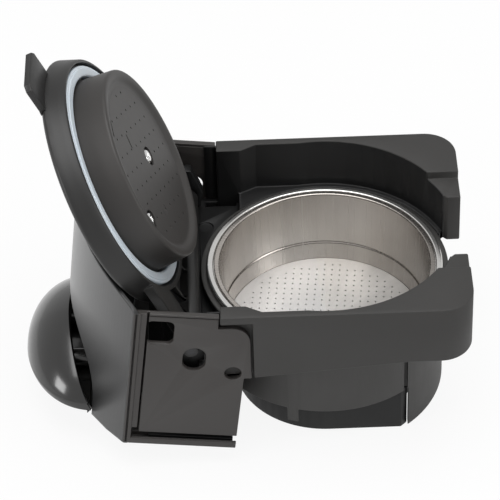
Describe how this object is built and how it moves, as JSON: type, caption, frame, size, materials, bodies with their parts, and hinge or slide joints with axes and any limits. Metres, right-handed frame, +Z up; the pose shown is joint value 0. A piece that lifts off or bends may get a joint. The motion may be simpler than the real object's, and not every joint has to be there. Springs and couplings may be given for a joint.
{
  "type": "pull-out coffee pod brewing unit",
  "caption": "Drawer-like brewing unit for soft coffee pods, with a domed pull grip, lift-out steel filter basket and hinged lid with a sealed brewing piston.",
  "frame": {"origin": "centre of the bounding box in plan, on the surface that the unit stands on", "axes": "+X from the grip to the rear, +Y to the left side as seen from the grip, +Z up"},
  "size_m": [0.1538, 0.0948, 0.138],
  "materials": {
    "carriage_plastic": "fine matte texture",
    "inner_plastic": "matte",
    "side_plastic": "satin",
    "fascia_plastic": "high gloss",
    "grip_plastic": "satin gloss",
    "holder_plastic": "satin",
    "lid_plastic": "satin",
    "piston_plastic": "satin gloss",
    "seal_silicone": "translucent, satin",
    "gasket_rubber": "matte",
    "basket_steel": "brushed round",
    "rim_steel": "polished",
    "pin_steel": "black oxide",
    "bush_plastic": "satin",
    "screw_steel": "zinc plated"
  },
  "bodies": {
    "drawer_unit": {"carriage": "carriage_plastic", "deck": "carriage_plastic", "hinge_bracket": "inner_plastic", "right_side_plate": "side_plastic", "left_side_plate": "side_plastic", "front_frame": "side_plastic", "fascia": "fascia_plastic", "grip_recess": "inner_plastic", "dome_grip": "grip_plastic", "bottom_cover": "inner_plastic", "pod_holder": "holder_plastic", "holder_base": "inner_plastic", "outlet_spout": "inner_plastic", "holder_gasket": "gasket_rubber", "hinge_pin": "pin_steel", "hinge_bushes": "bush_plastic", "cover_screws": "screw_steel", "grip_screws": "screw_steel", "holder_screws": "screw_steel"},
    "lid": {"lid_cover": "lid_plastic", "lid_carrier": "inner_plastic", "lid_tab": "lid_plastic", "seal_ring": "seal_silicone", "brew_piston": "piston_plastic", "piston_screws": "screw_steel", "inlet_spigot": "inner_plastic", "inlet_seal": "gasket_rubber"},
    "basket": {"filter_basket": "basket_steel", "rim_ring": "rim_steel", "strainer": "basket_steel"}
  },
  "joints": [
    {"name": "lid_hinge", "type": "hinge", "parent": "drawer_unit", "child": "lid", "pos_m": [-0.01812, 0, 0.05], "axis": [0, 1, 0], "range_deg": [0, 115.1]},
    {"name": "basket_lift", "type": "slide", "parent": "drawer_unit", "child": "basket", "axis": [0, 0, 1], "range_m": [0, 0.045]}
  ]
}
